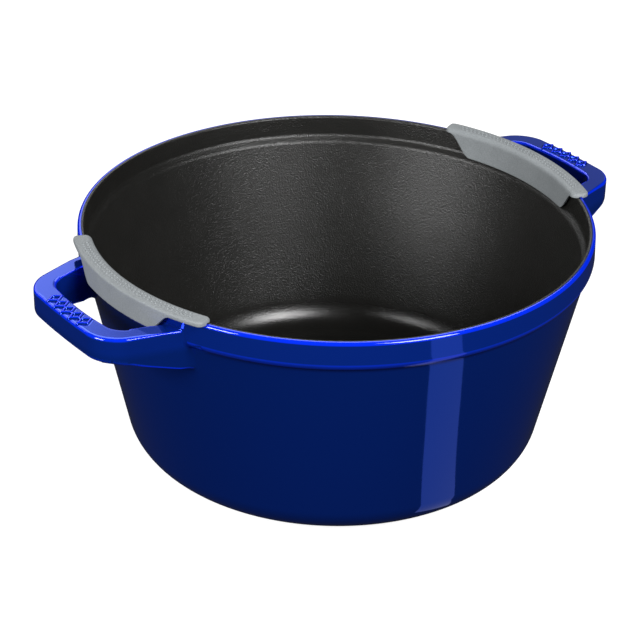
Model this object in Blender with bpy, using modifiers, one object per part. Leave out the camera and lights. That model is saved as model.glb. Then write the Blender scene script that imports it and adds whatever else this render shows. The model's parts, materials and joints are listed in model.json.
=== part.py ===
"""Enamelled cast-iron dutch oven, 26 cm, with two loop handles and two lift-off rim guards.

Units are metres and +Z is up. The foot stands on z = 0, and the handles lie along X.
Each piece is one named object in the collection "dutch_oven":

    iron_pot_body          the bare casting of the bowl, with its foot ring
    iron_handle_left/right the bare iron of the loop handles
    exterior_enamel        the glossy coat outside the bowl
    handle_enamel_*        the same coat, round each handle
    interior_enamel        the matte lining, from the floor to the top of the rim
    rim_guard_left/right   soft saddles that lift off the rim above each handle
"""

import math

import bmesh
import bpy
from mathutils import Matrix, Vector

# ------------------------------------------------------------------ bowl
POT_HEIGHT = 0.1262         # foot to the top of the rim
RIM_RADIUS = 0.1320         # outside of the rim, at its top
RIM_WIDTH = 0.0034          # across the top of the rim
RIM_EDGE = 0.0008           # rounding of the rim's two edges
BAND_HEIGHT = 0.0137        # the thick band below the rim
BAND_FLARE = 0.0005         # how far the band widens downwards
BAND_ROUNDING = 0.0044      # lower edge of the band
GROOVE_DROP = 0.0152        # rim to the groove below the band
GROOVE_DEPTH = 0.00275      # the groove, in from the face of the band
WALL_FOOT_RADIUS = 0.1059   # where the outer wall, carried on down, would meet the table
WALL_THICKNESS = 0.0045     # casting and both coats
BASE_FILLET = 0.0220        # outer corner between wall and base
FLOOR_HEIGHT = 0.0055       # table to the cooking floor
FLOOR_FILLET = 0.0180       # inner corner between wall and floor
SEAT_DEPTH = 0.0113         # rim to the top of the sloped lid seat
SEAT_HEIGHT = 0.0029        # height of the slope itself
SEAT_DRAFT = 0.0001         # how much the recess above the seat narrows downwards
FOOT_INNER_RADIUS = 0.0790
FOOT_HEIGHT = 0.0010        # foot ring below the underside
COAT_FOOT_ANGLE = math.radians(20)  # the outer coat starts this far round the base fillet

# ------------------------------------------------------------------ coats and clearances
COAT = 0.0006               # thickness of each enamel shell
GAP = 0.0003                # kept between pieces that touch
GUARD_CLEARANCE = 0.0004    # between a guard's legs and the rim

# ------------------------------------------------------------------ loop handles
HANDLE_DROP = 0.0060        # rim to the flat top of the handle
HANDLE_ROOT_INSET = 0.0070  # the root widths below are taken this far inside the rim
HANDLE_SUNK = 0.0210        # how far inside the rim the arms are carried before they are cut
GRIP_REACH = 0.0313         # rim to the outside of the grip, at its middle
GRIP_WIDTH = 0.0101         # across the grip, at its middle
GRIP_OUTER_BOW = 0.0015     # how far the outside of the grip stands proud of its corners
GRIP_INNER_BOW = 0.0029
HANDLE_HALF_WIDTH = 0.0358  # half the width over the outer corners
CORNER_ARM_WIDTH = 0.0064   # across an arm, at the corner
ROOT_FLARE = 0.0110         # how much further out the arms stand at their roots
ROOT_ARM_WIDTH = 0.0095
CORNER_OUTER_ROUNDING = 0.0182
CORNER_INNER_ROUNDING = 0.0103
GRIP_OUTER_BEND = 0.3800      # radius of the bowed grip
GRIP_INNER_BEND = 0.1500
GRIP_DEPTH = 0.0140           # height of the grip's section
ARM_DEEPENING = 0.22          # how much deeper the arms get, for each unit towards the bowl
ARM_LEVEL_REACH = 0.0240      # rim to where the arms start to deepen
HANDLE_TOP_EDGE = 0.0013
HANDLE_LOWER_EDGE = 0.0040

# ------------------------------------------------------------------ rim guards
GUARD_HALF_LENGTH = 0.0569    # from its middle to its end, round the rim
GUARD_SHIFTS = (0.0030, 0.0)  # the loose left guard sits a little round the rim
GUARD_TOP = 0.0019            # thickness over the rim
GUARD_OUTER_LEG = 0.0026      # thickness of the outer flap
GUARD_INNER_LEG = 0.0022
GUARD_EDGE = 0.0005           # bevel of its lower edges
GUARD_OUTER_EDGE = 0.0009     # rounding of its upper edges
GUARD_INNER_EDGE = 0.0024
GUARD_LIP = 0.0012            # how far the ends reach below the rim
OUTER_FLAP_DEPTH = 0.0100     # how far the outer flap hangs below the rim
OUTER_FLAP_MARGIN = 0.0092    # its full depth ends this far short of the handle's arms
OUTER_FLAP_STEP = 0.0129      # length over which it rises to the lip
INNER_FLAP_DEPTH = 0.0126     # it reaches down over the sloped lid seat
INNER_FLAP_MARGIN = 0.0177    # its full depth ends this far short of the guard's end
INNER_FLAP_STEP = 0.0147

# ------------------------------------------------------------------ mesh fineness
TURNS = 60                    # faces round the bowl
FILLET_STEPS = 4              # edges along a large fillet
EDGE_STEPS = 2                # edges along a small rounding
GUARD_STEPS = 26              # sections along a guard


# ------------------------------------------------------------------ outlines
def rounded(corners, radii, steps, closed=False):
    """The points of an outline whose corners are rounded, each by its own radius."""
    points = []
    count = len(corners)
    for index, (corner, radius, edges) in enumerate(zip(corners, radii, steps)):
        here = Vector(corner)
        if radius <= 0 or (not closed and index in (0, count - 1)):
            points.append(here)
            continue
        before = Vector(corners[index - 1]) - here
        after = Vector(corners[(index + 1) % count]) - here
        half = before.angle(after) / 2
        longest = 0.48 * min(before.length, after.length)
        radius = min(radius, longest * math.tan(half))
        reach = radius / math.tan(half)
        start, end = here + before.normalized() * reach, here + after.normalized() * reach
        middle = (before.normalized() + after.normalized()).normalized()
        centre = here + middle * (radius / math.sin(half))
        turn = (start - centre).angle_signed(end - centre)
        for step in range(edges + 1):
            # angle_signed is positive clockwise, and a 2D rotation is positive the other way.
            spoke = Matrix.Rotation(-turn * step / edges, 2) @ (start - centre)
            points.append(centre + spoke)
    return points


def inset(corners, radii, distance):
    """An outline's corners moved to its right-hand side by a distance, and the radii that keep it parallel."""
    moved, new_radii = [], []
    last = len(corners) - 1
    for index, corner in enumerate(corners):
        here = Vector(corner)
        into = (here - Vector(corners[index - 1])).normalized() if index else None
        out = (Vector(corners[index + 1]) - here).normalized() if index < last else None
        into, out = into or out, out or into
        right_in, right_out = Vector((into.y, -into.x)), Vector((out.y, -out.x))
        mitre = (right_in + right_out).normalized()
        moved.append(here + mitre * (distance / mitre.dot(right_in)))
        turns_right = into.x * out.y - into.y * out.x < 0
        change = -distance if turns_right else distance
        new_radii.append(max(radii[index] + change, 0.0) if radii[index] else 0.0)
    return moved, new_radii


def bowl_corners():
    """The skin of the bowl, from the middle of the floor, up the inside, over the rim and down to the foot."""
    band_radius = RIM_RADIUS + BAND_FLARE
    groove = Vector((band_radius - GROOVE_DEPTH, POT_HEIGHT - GROOVE_DROP))
    foot = Vector((WALL_FOOT_RADIUS, 0.0))
    down = (foot - groove).normalized()
    wall_shift = WALL_THICKNESS / -down.y           # level distance between the two wall lines
    slope = (groove.x - foot.x) / groove.y

    def inner_wall(height):
        return foot.x + slope * height - wall_shift

    rim_inner = RIM_RADIUS - RIM_WIDTH
    seat_foot = POT_HEIGHT - SEAT_DEPTH - SEAT_HEIGHT
    return [
        ((0.0, FLOOR_HEIGHT), 0.0, 1),
        ((inner_wall(FLOOR_HEIGHT), FLOOR_HEIGHT), FLOOR_FILLET, FILLET_STEPS),
        ((inner_wall(seat_foot), seat_foot), 0.0, 1),
        ((rim_inner - SEAT_DRAFT, POT_HEIGHT - SEAT_DEPTH), 0.0, 1),
        ((rim_inner, POT_HEIGHT), RIM_EDGE, EDGE_STEPS),
        ((RIM_RADIUS, POT_HEIGHT), RIM_EDGE, EDGE_STEPS),
        ((band_radius, POT_HEIGHT - BAND_HEIGHT), BAND_ROUNDING, EDGE_STEPS + 1),
        (tuple(groove), 0.0, 1),
        (tuple(foot), BASE_FILLET, FILLET_STEPS),
        ((0.0, 0.0), 0.0, 1),
    ]


def bowl_skin(depth, first, last):
    """The rounded skin from one corner to another, moved into the iron by a depth."""
    corners, radii, steps = zip(*bowl_corners())
    corners, radii = inset(corners, radii, depth)
    # The neighbours of the ends are kept, so that the end corners are rounded too, and dropped after.
    whole = rounded(corners, radii, steps)
    counts = [1 if radius <= 0 or index in (0, len(radii) - 1) else edges + 1
              for index, (radius, edges) in enumerate(zip(radii, steps))]
    start = sum(counts[:first])
    end = sum(counts[:last + 1])
    return whole[start:end]


FLOOR, SEAT_TOP, RIM_IN, RIM_OUT, BASE = 0, 3, 4, 5, 8      # places in bowl_corners()


def base_arc(angle, radius):
    """A point on the outer base fillet, counted from its lowest point, at a radius from its centre."""
    corners, radii, steps = zip(*bowl_corners())
    arc = rounded(corners, radii, steps)[-(FILLET_STEPS + 2):-1]
    centre = Vector((arc[-1].x, BASE_FILLET))
    return centre + radius * Vector((math.sin(angle), -math.cos(angle)))


def outer_line(depth):
    """The outside of the bowl from the rim's top down to where the coat ends, moved in by a depth."""
    edge = base_arc(COAT_FOOT_ANGLE, BASE_FILLET - depth)
    line = [p for p in bowl_skin(depth, RIM_OUT, BASE) if p.y > edge.y + GAP]
    return line + [edge]


# ------------------------------------------------------------------ objects
def remove_everything():
    for obj in list(bpy.data.objects):
        bpy.data.objects.remove(obj)


def new_collection(name, hidden=False):
    collection = bpy.data.collections.new(name)
    collection.hide_render = hidden
    bpy.context.scene.collection.children.link(collection)
    return collection


def principled(name, colour, roughness, metallic=0.0):
    material = bpy.data.materials.new(name)
    material.use_nodes = True
    shader = material.node_tree.nodes["Principled BSDF"]
    shader.inputs["Base Color"].default_value = (*colour, 1.0)
    shader.inputs["Roughness"].default_value = roughness
    shader.inputs["Metallic"].default_value = metallic
    return material


def new_object(name, mesh, collection, material=None):
    obj = bpy.data.objects.new(name, mesh)
    collection.objects.link(obj)
    if material:
        mesh.materials.append(material)
        mesh.shade_smooth()
        mesh.set_sharp_from_angle(angle=math.radians(35))
    else:
        obj.hide_render = True
        obj.display_type = "WIRE"
    return obj


def turned(name, profile, collection, material=None):
    """A profile of (radius, height) points turned about the Z axis."""
    mesh = bpy.data.meshes.new(name)
    points = [(p[0], 0.0, p[1]) for p in profile]
    mesh.from_pydata(points, [(i, i + 1) for i in range(len(points) - 1)], [])
    obj = new_object(name, mesh, collection, material)
    screw = obj.modifiers.new("Turn", "SCREW")
    screw.steps = screw.render_steps = TURNS
    screw.use_merge_vertices = True
    screw.merge_threshold = 1e-5
    screw.use_normal_calculate = False
    return obj


def solidify(obj, thickness):
    """Gives an open surface a wall on the side away from its normals."""
    shell = obj.modifiers.new("Wall", "SOLIDIFY")
    shell.thickness = thickness
    shell.offset = -1.0
    shell.use_even_offset = True


def cut(obj, cutter):
    boolean = obj.modifiers.new("Cut " + cutter.name, "BOOLEAN")
    boolean.operation = "DIFFERENCE"
    boolean.object = cutter


def loft(name, rings, collection, material=None, capped=True):
    """A tube through closed rings that all have the same number of points."""
    mesh = bpy.data.meshes.new(name)
    bm = bmesh.new()
    loops = [[bm.verts.new(point) for point in ring] for ring in rings]
    for one, two in zip(loops, loops[1:]):
        for a, b, c, d in zip(one, one[1:] + one[:1], two[1:] + two[:1], two):
            bm.faces.new((a, b, c, d))
    if capped:
        bm.faces.new(reversed(loops[0]))
        bm.faces.new(loops[-1])
        bmesh.ops.recalc_face_normals(bm, faces=bm.faces)
    bm.to_mesh(mesh)
    bm.free()
    return new_object(name, mesh, collection, material)


# ------------------------------------------------------------------ bowl and coats
def pot_body(collection, material):
    """The casting: inside it follows the lining, outside the coat, and it is bare from the coat down."""
    depth = COAT + GAP
    inside = bowl_skin(depth, FLOOR, RIM_IN)
    outside = outer_line(depth)
    bare_angles = (COAT_FOOT_ANGLE - GAP / BASE_FILLET, COAT_FOOT_ANGLE / 2, 0.0)
    bare = [base_arc(angle, BASE_FILLET) for angle in bare_angles]
    step = base_arc(bare_angles[0], BASE_FILLET - depth)
    foot = [
        Vector((FOOT_INNER_RADIUS, 0.0)),
        Vector((FOOT_INNER_RADIUS, FOOT_HEIGHT)),
        Vector((0.0, FOOT_HEIGHT)),
    ]
    return turned("iron_pot_body", inside + outside[:-1] + [step] + bare + foot, collection, material)


def exterior_coat(collection, material, windows):
    """The outer coat wraps the rim's outer edge, and lets each handle's roots through."""
    inner_end = Vector((RIM_RADIUS - RIM_EDGE - GAP, POT_HEIGHT))
    obj = turned("exterior_enamel", [inner_end] + outer_line(0.0), collection, material)
    solidify(obj, COAT)
    for window in windows:
        cut(obj, window)
    return obj


def interior_coat(collection, material):
    """The lining ends on the rim's flat top, next to the outer coat."""
    outer_end = Vector((RIM_RADIUS - RIM_EDGE - 2 * GAP, POT_HEIGHT))
    obj = turned("interior_enamel", bowl_skin(0.0, FLOOR, RIM_IN) + [outer_end], collection, material)
    solidify(obj, COAT)
    return obj


# ------------------------------------------------------------------ handles
def handle_line(grip_reach, corner, corner_rounding, grip_bend, root_spread):
    """One side of the handle in plan, from root to root, as (distance from the bowl's axis, width)."""
    corner_reach, corner_spread = corner
    slope = (root_spread - corner_spread) / (corner_reach + HANDLE_ROOT_INSET)
    start_spread = root_spread + slope * (HANDLE_SUNK - HANDLE_ROOT_INSET)
    half = [
        (RIM_RADIUS - HANDLE_SUNK, start_spread),
        (RIM_RADIUS + corner_reach, corner_spread),
    ]
    corners = half + [(RIM_RADIUS + grip_reach, 0.0)] + [(x, -y) for x, y in reversed(half)]
    radii = (0.0, corner_rounding, grip_bend, corner_rounding, 0.0)
    return rounded(corners, radii, (1, FILLET_STEPS + 1, FILLET_STEPS, FILLET_STEPS + 1, 1))


def inner_corner():
    """Reach from the rim and half width of the handle's inner corners."""
    return GRIP_REACH - GRIP_WIDTH - GRIP_INNER_BOW, HANDLE_HALF_WIDTH - CORNER_ARM_WIDTH


def inner_root():
    """Half the width between the roots."""
    return HANDLE_HALF_WIDTH + ROOT_FLARE - ROOT_ARM_WIDTH


def handle_rings(side, depth):
    """The sections of a handle, moved into it by a depth. side is -1 for left and 1 for right."""
    outer = handle_line(GRIP_REACH, (GRIP_REACH - GRIP_OUTER_BOW, HANDLE_HALF_WIDTH),
                        CORNER_OUTER_ROUNDING, GRIP_OUTER_BEND, HANDLE_HALF_WIDTH + ROOT_FLARE)
    inner = handle_line(GRIP_REACH - GRIP_WIDTH, inner_corner(),
                        CORNER_INNER_ROUNDING, GRIP_INNER_BEND, inner_root())
    top = POT_HEIGHT - HANDLE_DROP
    rings = []
    for out_point, in_point in zip(outer, inner):
        across = in_point - out_point
        width = across.length
        to_bowl = RIM_RADIUS + ARM_LEVEL_REACH - (out_point.x + in_point.x) / 2
        bottom = top - GRIP_DEPTH - ARM_DEEPENING * max(to_bowl, 0.0)
        corners = [(depth, top - depth), (width - depth, top - depth),
                   (width - depth, bottom + depth), (depth, bottom + depth)]
        radii = [max(edge - depth, 0.0002) for edge in
                 (HANDLE_TOP_EDGE, HANDLE_TOP_EDGE, HANDLE_LOWER_EDGE, HANDLE_LOWER_EDGE)]
        section = rounded(corners, radii, (EDGE_STEPS, EDGE_STEPS, 3, 3), closed=True)
        ring = []
        for along, height in section:
            place = out_point + across.normalized() * along
            ring.append((side * place.x, side * place.y, height))
        rings.append(ring)
    return rings


def root_cutter(collection):
    """The bowl's casting with its gap, as a solid: the handles are cut to fit against it."""
    profile = [Vector((0.0, POT_HEIGHT))] + bowl_skin(COAT, RIM_OUT, BASE)
    return turned("root_cutter", profile + [Vector((0.0, profile[-1].y))], collection)


def handle(side, name, cutters, collection, iron, blue):
    cutter = bpy.data.objects["root_cutter"]
    core = loft("iron_handle_" + name, handle_rings(side, COAT + GAP), collection, iron)
    cut(core, cutter)
    coat = loft("handle_enamel_" + name, handle_rings(side, 0.0), collection, blue, capped=False)
    solidify(coat, COAT)
    cut(coat, cutter)
    return loft("window_" + name, handle_rings(side, -GAP), cutters)


# ------------------------------------------------------------------ rim guards
def arm_angle(radius):
    """Where a circle round the bowl meets the inner side of an arm, as an angle from the handle's middle."""
    reach, spread = inner_corner()
    slope = (inner_root() - spread) / (reach + HANDLE_ROOT_INSET)
    lean = math.atan(slope)
    return math.asin((spread + slope * (RIM_RADIUS + reach)) * math.cos(lean) / radius) - lean


def flap_depth(along, full_depth, full_to, step):
    """How far a flap hangs at a distance from the guard's middle: full, then eased up to the lip."""
    share = min(max((abs(along) - full_to) / step, 0.0), 1.0)
    ease = (1 - math.cos(math.pi * share)) / 2
    return full_depth + (GUARD_LIP - full_depth) * ease


def guard_section(angle):
    """The inverted U at one angle, as (radius, height) points."""
    outer_face = RIM_RADIUS + BAND_FLARE + GUARD_CLEARANCE
    inner_face = RIM_RADIUS - RIM_WIDTH - SEAT_DRAFT - GUARD_CLEARANCE
    outside, inside = outer_face + GUARD_OUTER_LEG, inner_face - GUARD_INNER_LEG
    under = POT_HEIGHT + GAP
    top = under + GUARD_TOP
    outer_full = RIM_RADIUS * arm_angle(outside) - OUTER_FLAP_MARGIN
    inner_full = GUARD_HALF_LENGTH - INNER_FLAP_MARGIN
    along = RIM_RADIUS * angle
    outer_end = POT_HEIGHT - flap_depth(along, OUTER_FLAP_DEPTH, outer_full, OUTER_FLAP_STEP)
    inner_end = POT_HEIGHT - flap_depth(along, INNER_FLAP_DEPTH, inner_full, INNER_FLAP_STEP)
    # Where the inner flap reaches the sloped seat, its end is cut back at the slope's angle.
    chamfer = max(GUARD_EDGE, POT_HEIGHT - SEAT_DEPTH + GUARD_CLEARANCE / 2 - inner_end)
    seat_run = bowl_corners()[SEAT_TOP][0][0] - bowl_corners()[SEAT_TOP - 1][0][0]
    tip = inner_face - chamfer * seat_run / SEAT_HEIGHT
    corners = [(inside, top), (outside, top), (outside, outer_end), (outer_face, outer_end),
               (outer_face, under), (inner_face, under), (inner_face, inner_end + chamfer),
               (tip, inner_end), (inside, inner_end)]
    radii = [GUARD_INNER_EDGE, GUARD_OUTER_EDGE] + [GUARD_EDGE] * 2 + [0.0] * 4 + [GUARD_EDGE]
    steps = [3, 2] + [1] * 7
    return rounded(corners, radii, steps, closed=True)


def rim_guard(side, name, collection, material):
    rings = []
    offset = GUARD_SHIFTS[(side + 1) // 2] / RIM_RADIUS
    for step in range(GUARD_STEPS + 1):
        angle = GUARD_HALF_LENGTH / RIM_RADIUS * (2 * step / GUARD_STEPS - 1)
        turn = Vector((side * math.cos(angle + offset), side * math.sin(angle + offset)))
        rings.append([(turn.x * radius, turn.y * radius, height)
                      for radius, height in guard_section(angle)])
    return loft("rim_guard_" + name, rings, collection, material)


def main():
    remove_everything()
    parts = new_collection("dutch_oven")
    cutters = new_collection("dutch_oven_cutters", hidden=True)
    iron = principled("bare cast iron", (0.035, 0.034, 0.033), 0.65, metallic=0.6)
    blue = principled("blue gloss enamel", (0.002, 0.008, 0.20), 0.08)
    black = principled("matte black enamel", (0.025, 0.025, 0.025), 0.50)
    silicone = principled("grey silicone", (0.33, 0.36, 0.37), 0.55)

    root_cutter(cutters)
    windows = []
    for side, name in ((-1, "left"), (1, "right")):
        windows.append(handle(side, name, cutters, parts, iron, blue))
        rim_guard(side, name, parts, silicone)
    pot_body(parts, iron)
    exterior_coat(parts, blue, windows)
    interior_coat(parts, black)


main()
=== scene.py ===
# %% [markdown]
# # An enamelled cast-iron dutch oven
#
# A round iron pot of about 26 cm: glossy blue enamel outside, matte black enamel inside, two
# loop handles cast with the bowl, and a grey silicone guard pushed over the rim above each
# handle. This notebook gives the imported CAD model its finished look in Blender. The CAD nodes
# stay where they are, and each smooth piece made here rides on the CAD body that it belongs to.

import json
import math

import bmesh
import bpy
from mathutils import Matrix, Vector
from mathutils.bvhtree import BVHTree

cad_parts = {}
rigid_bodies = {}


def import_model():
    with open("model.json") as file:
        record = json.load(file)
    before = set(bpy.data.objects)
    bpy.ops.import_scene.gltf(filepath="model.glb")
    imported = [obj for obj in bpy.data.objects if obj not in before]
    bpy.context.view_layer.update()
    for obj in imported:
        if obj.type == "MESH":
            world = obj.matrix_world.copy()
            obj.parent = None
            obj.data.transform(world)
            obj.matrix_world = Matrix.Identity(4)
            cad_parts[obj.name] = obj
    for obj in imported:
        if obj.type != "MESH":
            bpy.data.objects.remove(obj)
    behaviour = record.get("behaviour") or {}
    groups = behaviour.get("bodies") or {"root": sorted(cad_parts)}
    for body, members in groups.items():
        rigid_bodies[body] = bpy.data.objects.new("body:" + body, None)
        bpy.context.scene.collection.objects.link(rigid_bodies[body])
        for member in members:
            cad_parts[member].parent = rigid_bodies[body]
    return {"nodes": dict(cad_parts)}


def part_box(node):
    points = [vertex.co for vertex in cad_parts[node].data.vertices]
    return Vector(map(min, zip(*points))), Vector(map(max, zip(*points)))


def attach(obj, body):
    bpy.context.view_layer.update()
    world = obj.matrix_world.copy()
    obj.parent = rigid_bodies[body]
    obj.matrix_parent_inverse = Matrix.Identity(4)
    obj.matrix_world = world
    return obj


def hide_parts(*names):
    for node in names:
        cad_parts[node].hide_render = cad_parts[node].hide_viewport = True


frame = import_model()
bpy.ops.object.select_all(action="DESELECT")
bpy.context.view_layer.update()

# %% [markdown]
# ## The pot's own sizes
#
# Everything is in metres, and a pair is (radius, height). A cast pot is drawn as a section: a
# line of corners from the middle of the floor, up the inside, over the rim and down the outside.
# Its height could be typed in too, but it is read from the CAD node's box, so that the visible
# pot and the CAD pot can't drift apart.

# %% Sizes
POT_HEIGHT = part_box("exterior_enamel")[1].z
RIM_RADIUS = 0.1320
RIM_INSIDE = 0.1286
BAND_FOOT = (0.1325, POT_HEIGHT - 0.0137)   # lower corner of the thick band below the rim
GROOVE = (0.12975, POT_HEIGHT - 0.0152)     # bottom of the groove below the band
WALL_FOOT = (0.1059, 0.0)                   # where the wall, carried on down, meets the table
WALL_SHIFT = 0.0046                         # inside of the wall, measured level from its outside
BASE_FILLET = 0.0220
FLOOR_HEIGHT = 0.0055
COAT = 0.0006                               # thickness of an enamel shell
GAP = 0.0003                                # between a shell and the iron
WALL_SLOPE = (GROOVE[0] - WALL_FOOT[0]) / GROOVE[1]


def inner_wall(height):
    """Radius of the inside of the wall at a height."""
    return WALL_FOOT[0] + WALL_SLOPE * height - WALL_SHIFT


print("wall leans", round(math.degrees(math.atan(WALL_SLOPE)), 2), "degrees")

# %% [markdown]
# ## Camera
#
# A pot is best seen from a little above and through a long lens, so that the rim reads as an
# ellipse and the sides of the wall stay straight. A camera could be aimed with a Track To
# constraint. Here it is placed by two angles and a distance from the middle of the pot, and its
# three axes are worked out, because that also allows the small yaw, pitch and roll of a hand-set
# tripod.

# %% Camera
AZIMUTH, ELEVATION = math.radians(-37.39), math.radians(29.14)
DISTANCE = 1.0767
AIM_YAW, AIM_PITCH, AIM_ROLL = -0.0070, 0.0035, 0.0202
AIM_HEIGHT = 0.061
LENS = 114.84

back = Vector((math.sin(AZIMUTH) * math.cos(ELEVATION),
               -math.cos(AZIMUTH) * math.cos(ELEVATION), math.sin(ELEVATION)))
target = Vector((0.0, 0.0, AIM_HEIGHT))
right = (-back).cross(Vector((0, 0, 1))).normalized()
up = right.cross(-back)
forward = (-back + AIM_YAW * right + AIM_PITCH * up).normalized()
side = forward.cross(Vector((0, 0, 1))).normalized()
rise = side.cross(forward)
camera_x = side * math.cos(AIM_ROLL) + rise * math.sin(AIM_ROLL)
camera_y = rise * math.cos(AIM_ROLL) - side * math.sin(AIM_ROLL)

bpy.ops.object.camera_add(location=target + back * DISTANCE)
camera = bpy.context.object
camera.name = "camera"
camera.data.lens = LENS
camera.data.sensor_width = 36.0
camera.data.clip_start = 0.05
rows = [(camera_x[i], camera_y[i], -forward[i]) for i in range(3)]
camera.rotation_mode = "QUATERNION"
camera.rotation_quaternion = Matrix(rows).to_quaternion()
bpy.context.scene.camera = camera
print("camera at", [round(c, 3) for c in camera.location])


# %% [markdown]
# ## Shader maths as Python
#
# A node tree is a formula drawn as boxes. It could be built box by box and link by link, which
# is long to read. This small class wraps a socket instead, so that a formula is written as one,
# and each operator adds its Math node. Every other node comes from the method `node`.

# %% Socket wrapper
class Value:
    """An output socket of a node tree."""

    def __init__(self, tree, socket):
        self.tree = tree
        self.socket = socket

    def node(self, kind, settings=None, **inputs):
        """Adds a node of this kind, sets its settings and then its inputs, and returns it."""
        made = self.tree.nodes.new(kind)
        for name, setting in (settings or {}).items():
            setattr(made, name, setting)
        for name, value in inputs.items():
            plug(find_input(made, name), value)
        return made

    def math(self, operation, first, second):
        """Adds a Math node of two values and returns its result."""
        made = self.node("ShaderNodeMath", {"operation": operation})
        plug(made.inputs[0], first)
        plug(made.inputs[1], second)
        return output_of(made)

    def __add__(self, other):
        return self.math("ADD", self, other)

    def __radd__(self, other):
        return self.math("ADD", other, self)

    def __sub__(self, other):
        return self.math("SUBTRACT", self, other)

    def __rsub__(self, other):
        return self.math("SUBTRACT", other, self)

    def __mul__(self, other):
        return self.math("MULTIPLY", self, other)

    def __rmul__(self, other):
        return self.math("MULTIPLY", other, self)

    def larger(self, other):
        """The larger of two values."""
        return self.math("MAXIMUM", self, other)


print("operators ready")


# %% Sockets of a node
def output_of(node, name=0):
    """An output of a node, by its name or its place in the list, as a Value."""
    return Value(node.id_data, node.outputs[name])


def find_input(node, name):
    """The node's enabled input with this name, where spaces are written as underscores."""
    wanted = name.replace("_", " ").lower()
    return next(s for s in node.inputs if s.name.lower() == wanted and s.enabled)


def plug(socket, value):
    """Links a Value to an input, or sets the input to a plain number or colour."""
    if isinstance(value, Value):
        value.tree.links.new(value.socket, socket)
    else:
        socket.default_value = value


def feed(shader, **inputs):
    """Gives a shader the values that change over its surface."""
    for name, value in inputs.items():
        plug(find_input(shader, name), value)


print("socket helpers ready")

# %% [markdown]
# ## The parts that every finish is made of
#
# Real finishes vary at several sizes at once: clouds as wide as a finger, and grain finer than a
# millimetre. Painted images could show that, but they stretch and need unwrapping. Noise in the
# piece's own Object coordinates has a true size in metres and needs no unwrapping, so each finish
# below is noise, a blend of two colours and a bump.

# %% Material helpers
MIX_COLOUR = 2     # the Mix node's colour result is third in its list of outputs


def colour(red, green, blue):
    return (red, green, blue, 1.0)


def new_material(name, **constants):
    """A material with one Principled shader. Returns it, its Object coordinates and the shader."""
    material = bpy.data.materials.new(name)
    material.use_nodes = True
    shader = material.node_tree.nodes["Principled BSDF"]
    for key, value in constants.items():
        find_input(shader, key).default_value = value
    coordinates = output_of(shader).node("ShaderNodeTexCoord")
    return material, output_of(coordinates, "Object"), shader


def noise(place, scale, detail):
    """Cloudy values from 0 to 1, with this many waves in a metre."""
    return output_of(place.node("ShaderNodeTexNoise", Vector=place, Scale=scale, Detail=detail), "Fac")


def blend(share, one, two):
    """The colour at this share of the way from one colour to another."""
    mixed = share.node("ShaderNodeMix", {"data_type": "RGBA"}, Factor=share, A=one, B=two)
    return output_of(mixed, MIX_COLOUR)


def bumps(height, strength, distance):
    """A bumpy normal from heights."""
    return output_of(height.node("ShaderNodeBump", Strength=strength, Distance=distance, Height=height))


def axis(place, name):
    """The X, Y or Z of a place."""
    return output_of(place.node("ShaderNodeSeparateXYZ", Vector=place), name)


def ramp(value, low, high, low_result, high_result, kind="SMOOTHSTEP"):
    """Turns values from low to high into results, and holds them level outside."""
    return output_of(value.node("ShaderNodeMapRange", {"interpolation_type": kind}, Value=value,
                                From_Min=low, From_Max=high, To_Min=low_result, To_Max=high_result))


print("material helpers ready")

# %% [markdown]
# ## Blue gloss enamel
#
# Enamel is coloured glass, melted over a dark ground coat. Surface tension pulls it thin over
# every outer edge, where it looks a little brighter, and lets it pool darker in hollows. The
# colour goes further than that and paints light on: a painted highlight on every edge, painted
# shade in the hollows and the groove, and a painted lighter band below the rim, whose upright face
# catches more light. That could be painted by hand. Here each blue piece stores how sharply it
# bends as an attribute named "edge", from -1 in a hollow to 1 on an edge, so the colour follows
# the shape by itself. The glass tints what it mirrors, which part of a metallic shader gives, and a
# faint ripple keeps it from looking like plastic.

# %% Blue gloss enamel
# The pool colour is partly painted shade for hollows, and the edge colour partly a painted highlight
# for edges and the band.
DEEP_BLUE = colour(0.0050, 0.046, 0.42)
SHADED_POOL_BLUE = colour(0.0060, 0.014, 0.08)
EDGE_BLUE = colour(0.0010, 0.022, 0.80)
BAND_LIGHT_FADE = (0.1085, 0.1125)    # heights between which painted light brightens the band below the rim
BAND_PAINTED_LIGHT = 0.11

blue_enamel, place, shader = new_material("blue_gloss_enamel", Roughness=0.05, Specular_IOR_Level=0.70)
edge = output_of(place.node("ShaderNodeAttribute", {"attribute_name": "edge"}), "Fac")
cloud = noise(place, 38.0, 3.0)
speck = noise(place, 900.0, 2.0)
# Painted light: the band below the rim is made lighter, as its upright face catches more light than the
# leaning wall.
band_light_share = ramp(axis(place, "Z"), *BAND_LIGHT_FADE, 0.0, BAND_PAINTED_LIGHT, kind="LINEAR")
# Painted highlight: lightens the colour on edges and on the band below the rim, partly for the real
# thinning of the glass over edges.
thin_glass_and_painted_light = edge.larger(band_light_share)
# Painted shade: hollows and the groove under the band are darkened, partly for the real pooling of the
# glass.
hollow = (0.0 - edge).larger(0.0)
pooled_and_shaded = blend(hollow * 0.8, DEEP_BLUE, SHADED_POOL_BLUE)
feed(shader,
     Base_Color=blend(thin_glass_and_painted_light * (cloud * 0.4 + 0.7), pooled_and_shaded, EDGE_BLUE),
     Metallic=0.8 - thin_glass_and_painted_light * 0.55,
     Roughness=cloud * 0.03 + 0.035,
     Normal=bumps(cloud * 0.6 + speck * 0.05, strength=0.05, distance=0.0005))
print("blue enamel:", len(blue_enamel.node_tree.nodes), "nodes")

# %% [markdown]
# ## Black matte enamel
#
# The lining is a black enamel fired to a fine rough skin that holds oil. It could be one rough
# black, but then its wide soft highlights would look like paint. A grain of under a millimetre
# breaks them up. The floor of the bowl is smoother than the wall, because the wet enamel settles
# and levels there, so roughness and grain both rise with height above the floor.

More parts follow.
